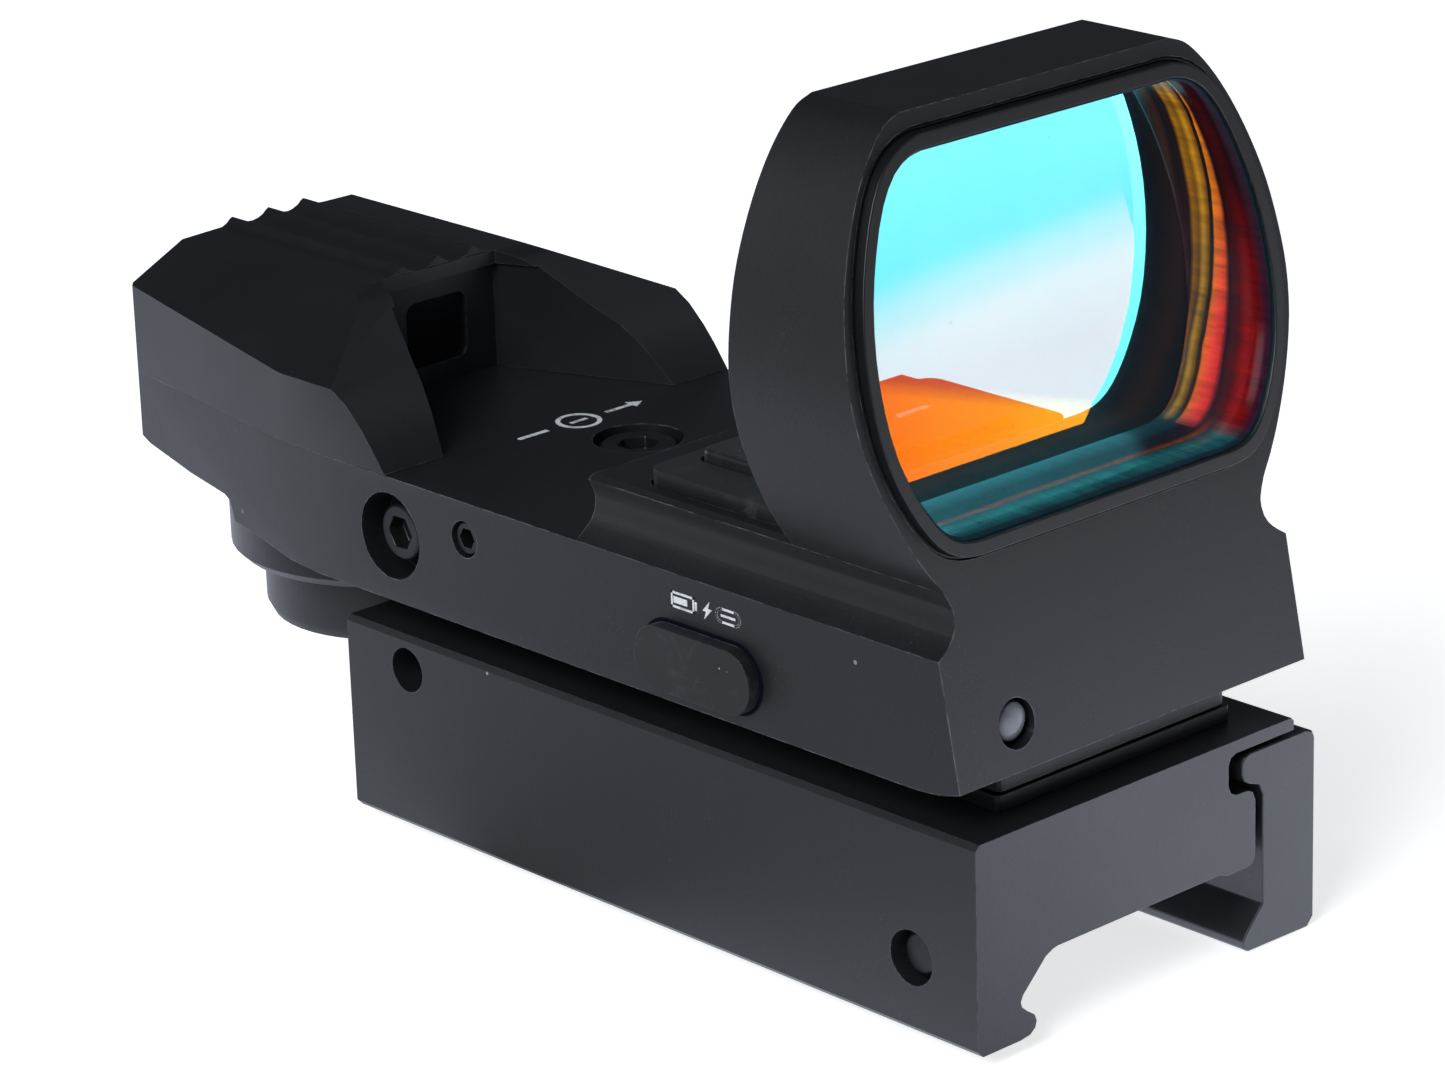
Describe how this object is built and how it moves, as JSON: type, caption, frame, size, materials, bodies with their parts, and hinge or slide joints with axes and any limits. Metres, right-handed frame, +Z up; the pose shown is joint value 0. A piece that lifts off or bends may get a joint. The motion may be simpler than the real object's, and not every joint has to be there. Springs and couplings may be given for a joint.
{
  "type": "reflex red dot finder",
  "caption": "Open reflex red dot finder: rail clamp with moving jaw, tilting sight body with coated lens in a hood, emitter cover, keypad and reticle selector.",
  "frame": {"origin": "centre of the flat seat in the roof of the rail channel", "axes": "+X along the rail towards the target (lens end), +Y to the left of someone aiming along +X, +Z up; the charging socket is on the -Y side"},
  "size_m": [0.0822, 0.0368, 0.0558],
  "materials": {
    "black_anodised": "matt bead-blasted black anodising",
    "black_polymer": "fine-textured black moulding",
    "black_rubber": "soft matt black rubber",
    "coated_glass": "multi-coated lens glass",
    "dark_window": "dark coated window",
    "black_steel": "black-oxide screws",
    "bright_steel": "plain ground steel",
    "brass": "turned brass",
    "board": "green laminate",
    "cell_wrap": "foil cell pouch",
    "diffuser": "frosted light pipe",
    "red_diode": "red epoxy"
  },
  "bodies": {
    "mount": {"mount_base": "black_anodised", "swivel_pad_lower": "black_anodised", "pad_screw_1": "bright_steel", "pad_screw_2": "bright_steel", "swivel_screw": "bright_steel", "windage_post": "bright_steel", "post_cross_pin": "bright_steel"},
    "clamp": {"clamp_jaw": "black_anodised"},
    "clamp_screw_front": {"clamp_screw_front": "black_steel"},
    "clamp_screw_rear": {"clamp_screw_rear": "black_steel"},
    "swivel": {"swivel_plate": "black_anodised", "tilt_pin": "bright_steel"},
    "sight": {"main_housing": "black_anodised", "lens_bezel": "black_polymer", "lens_front_glass": "coated_glass", "lens_rear_glass": "coated_glass", "lens_seal_ring": "black_rubber", "emitter_cover": "black_polymer", "emitter_window": "dark_window", "emitter_post": "black_polymer", "emitter_diode": "red_diode", "cover_screw_1": "black_steel", "cover_screw_2": "black_steel", "detent_ball": "bright_steel", "detent_spring": "bright_steel", "floor_plate": "black_anodised", "floor_screw_1": "bright_steel", "floor_screw_2": "bright_steel", "floor_screw_3": "bright_steel", "floor_screw_4": "bright_steel", "circuit_board": "board", "battery_cell": "cell_wrap", "usb_socket_shell": "bright_steel", "usb_socket_tongue": "black_polymer", "dome_switch_near": "bright_steel", "dome_switch_far": "bright_steel", "charge_light_lens": "diffuser", "keypad_frame": "black_rubber"},
    "windage_adjuster": {"windage_screw": "bright_steel"},
    "windage_pusher": {"windage_pusher": "brass"},
    "elevation_adjuster": {"elevation_screw": "black_steel"},
    "elevation_foot": {"elevation_foot": "brass"},
    "elevation_lock": {"elevation_lock_screw": "black_steel"},
    "selector": {"reticle_knob": "black_anodised", "reticle_drum": "black_polymer", "reticle_film": "dark_window", "spindle_circlip": "bright_steel"},
    "brightness_key_near": {"key_near": "black_rubber"},
    "brightness_key_far": {"key_far": "black_rubber"},
    "port_cover": {"port_plug": "black_rubber"}
  },
  "joints": [
    {"name": "clamp_slide", "type": "slide", "parent": "mount", "child": "clamp", "axis": [0, 1, 0], "range_m": [-0.0005, 0.0022]},
    {"name": "clamp_screw_front_turn", "type": "hinge", "parent": "clamp", "child": "clamp_screw_front", "pos_m": [0.0232, 0.0127, -0.0002], "axis": [0, 1, 0], "range_deg": [-270, 1150]},
    {"name": "clamp_screw_rear_turn", "type": "hinge", "parent": "clamp", "child": "clamp_screw_rear", "pos_m": [-0.0232, 0.0127, -0.0002], "axis": [0, 1, 0], "range_deg": [-270, 1150]},
    {"name": "windage_swivel", "type": "hinge", "parent": "mount", "child": "swivel", "pos_m": [0.0135, 0, 0.0105], "axis": [0, 0, 1], "range_deg": [-1, 1]},
    {"name": "elevation_tilt", "type": "hinge", "parent": "swivel", "child": "sight", "pos_m": [0.02, 0, 0.0123], "axis": [0, 1, 0], "range_deg": [-0.9, 0.9]},
    {"name": "windage_screw_turn", "type": "hinge", "parent": "sight", "child": "windage_adjuster", "pos_m": [-0.0232, -0.0142, 0.0152], "axis": [0, 1, 0], "range_deg": [-470, 470]},
    {"name": "windage_pusher_slide", "type": "slide", "parent": "sight", "child": "windage_pusher", "axis": [0, 1, 0], "range_m": [-0.00066, 0.00066]},
    {"name": "elevation_screw_turn", "type": "hinge", "parent": "sight", "child": "elevation_adjuster", "pos_m": [-0.017, 0.001, 0.0189], "axis": [0, 0, 1], "range_deg": [-430, 430]},
    {"name": "elevation_foot_slide", "type": "slide", "parent": "sight", "child": "elevation_foot", "axis": [0, 0, -1], "range_m": [-0.0006, 0.0006]},
    {"name": "elevation_lock_turn", "type": "hinge", "parent": "sight", "child": "elevation_lock", "pos_m": [-0.0158, -0.0147, 0.0167], "axis": [0, 1, 0], "range_deg": [0, 360]},
    {"name": "reticle_select", "type": "hinge", "parent": "sight", "child": "selector", "pos_m": [-0.0415, 0, 0.0065], "axis": [0, 0, 1], "range_deg": [0, 90]},
    {"name": "key_near_press", "type": "slide", "parent": "sight", "child": "brightness_key_near", "axis": [0, 0, -1], "range_m": [0, 0.0004], "stiffness_N_per_m": 3000},
    {"name": "key_far_press", "type": "slide", "parent": "sight", "child": "brightness_key_far", "axis": [0, 0, -1], "range_m": [0, 0.0004], "stiffness_N_per_m": 3000},
    {"name": "port_plug_pull", "type": "slide", "parent": "sight", "child": "port_cover", "axis": [0, -1, 0], "range_m": [0, 0.006]}
  ],
  "couplings": [
    {"joint": "clamp_screw_front_turn", "follows": "clamp_slide", "rad_per_m": 8975.9},
    {"joint": "clamp_screw_rear_turn", "follows": "clamp_slide", "rad_per_m": 8975.9},
    {"joint": "windage_screw_turn", "follows": "windage_swivel", "ratio": -461},
    {"joint": "windage_pusher_slide", "follows": "windage_swivel", "m_per_rad": 0.0367},
    {"joint": "elevation_screw_turn", "follows": "elevation_tilt", "ratio": 465},
    {"joint": "elevation_foot_slide", "follows": "elevation_tilt", "m_per_rad": 0.037}
  ]
}
